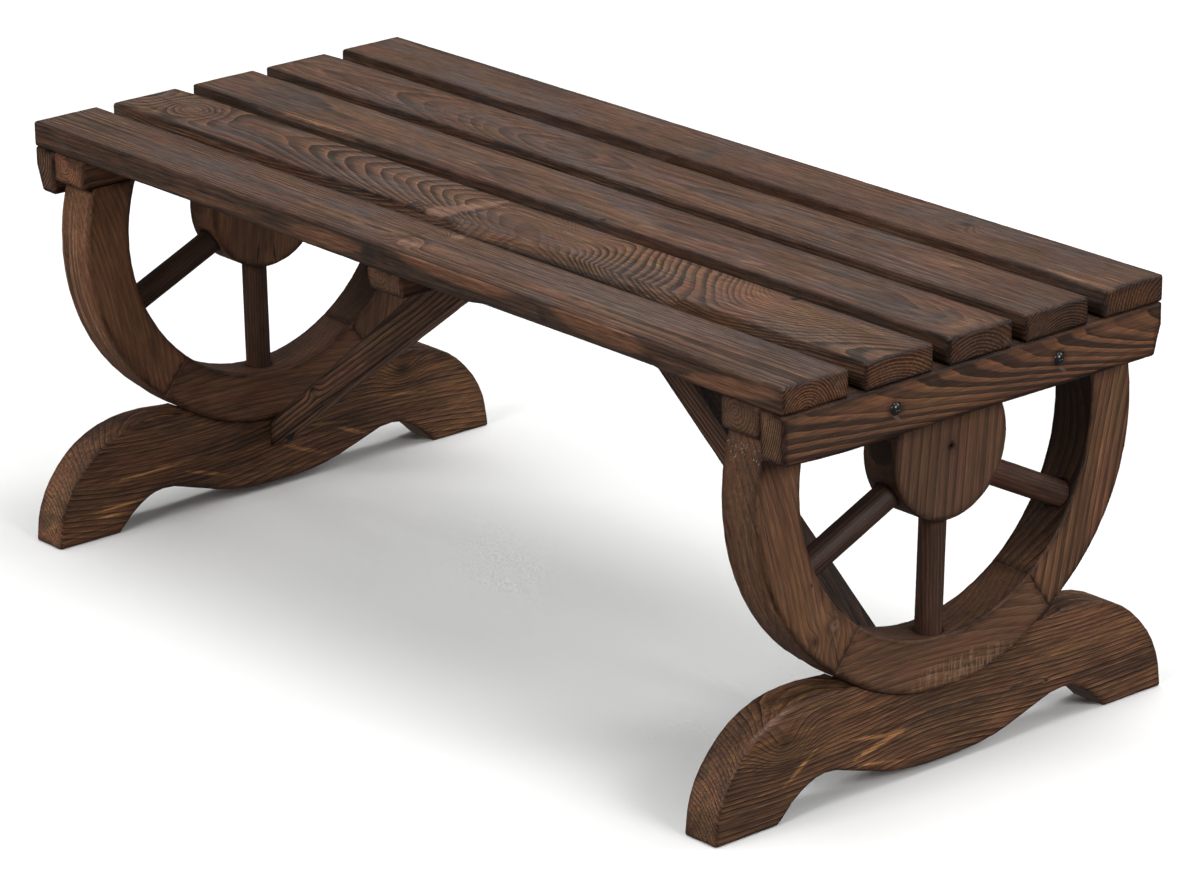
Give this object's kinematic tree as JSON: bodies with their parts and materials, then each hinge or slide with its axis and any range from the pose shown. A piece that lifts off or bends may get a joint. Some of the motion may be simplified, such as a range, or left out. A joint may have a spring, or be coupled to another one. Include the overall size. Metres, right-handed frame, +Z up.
{
  "type": "wagon wheel bench",
  "caption": "Backless garden bench in dark burnt-stained softwood: a slatted seat on half wagon wheels with round spokes, standing in ogee feet and tied to the middle by diagonal braces",
  "frame": {"origin": "on the floor, under the middle of the bench", "axes": "+X along the seat towards its right end, +Y across the seat towards the back, +Z up"},
  "size_m": [1.065, 0.5354, 0.4077],
  "materials": {
    "seat_wood": "brushed and burnt softwood under a dark brown stain, satin",
    "rail_wood": "burnt softwood with strong arched grain, dark brown stain",
    "batten_wood": "rough-sawn softwood, dark brown stain",
    "rim_wood": "sanded softwood, warm brown stain",
    "hub_wood": "sanded softwood, warm brown stain",
    "spoke_wood": "turned softwood, very dark brown stain",
    "foot_wood": "burnt softwood with strong grain, brown stain",
    "brace_wood": "rough-sawn softwood, very dark brown stain",
    "screw_black": "black phosphated steel, satin"
  },
  "bodies": {
    "root": {"slat_1": "seat_wood", "slat_2": "seat_wood", "slat_3": "seat_wood", "slat_4": "seat_wood", "slat_5": "seat_wood", "end_rail_left": "rail_wood", "end_rail_right": "rail_wood", "end_batten_left": "batten_wood", "end_batten_right": "batten_wood", "middle_batten": "batten_wood", "rim_front_left": "rim_wood", "rim_bottom_left": "rim_wood", "rim_back_left": "rim_wood", "rim_front_right": "rim_wood", "rim_bottom_right": "rim_wood", "rim_back_right": "rim_wood", "hub_left": "hub_wood", "hub_right": "hub_wood", "spoke_front_left": "spoke_wood", "spoke_middle_left": "spoke_wood", "spoke_back_left": "spoke_wood", "spoke_front_right": "spoke_wood", "spoke_middle_right": "spoke_wood", "spoke_back_right": "spoke_wood", "foot_left": "foot_wood", "foot_right": "foot_wood", "brace_left": "brace_wood", "brace_right": "brace_wood", "rail_screw_front_left": "screw_black", "rail_screw_back_left": "screw_black", "rail_screw_front_right": "screw_black", "rail_screw_back_right": "screw_black", "slat_screw_left_1": "screw_black", "slat_screw_left_2": "screw_black", "slat_screw_left_3": "screw_black", "slat_screw_left_4": "screw_black", "slat_screw_left_5": "screw_black", "slat_screw_middle_1": "screw_black", "slat_screw_middle_2": "screw_black", "slat_screw_middle_3": "screw_black", "slat_screw_middle_4": "screw_black", "slat_screw_middle_5": "screw_black", "slat_screw_right_1": "screw_black", "slat_screw_right_2": "screw_black", "slat_screw_right_3": "screw_black", "slat_screw_right_4": "screw_black", "slat_screw_right_5": "screw_black", "rim_screw_front_left": "screw_black", "rim_screw_back_left": "screw_black", "rim_screw_front_right": "screw_black", "rim_screw_back_right": "screw_black", "foot_screw_front_left": "screw_black", "foot_screw_back_left": "screw_black", "foot_screw_front_right": "screw_black", "foot_screw_back_right": "screw_black", "brace_foot_screw_left": "screw_black", "brace_foot_screw_right": "screw_black", "brace_seat_screw_left": "screw_black", "brace_seat_screw_right": "screw_black"}
  },
  "joints": []
}
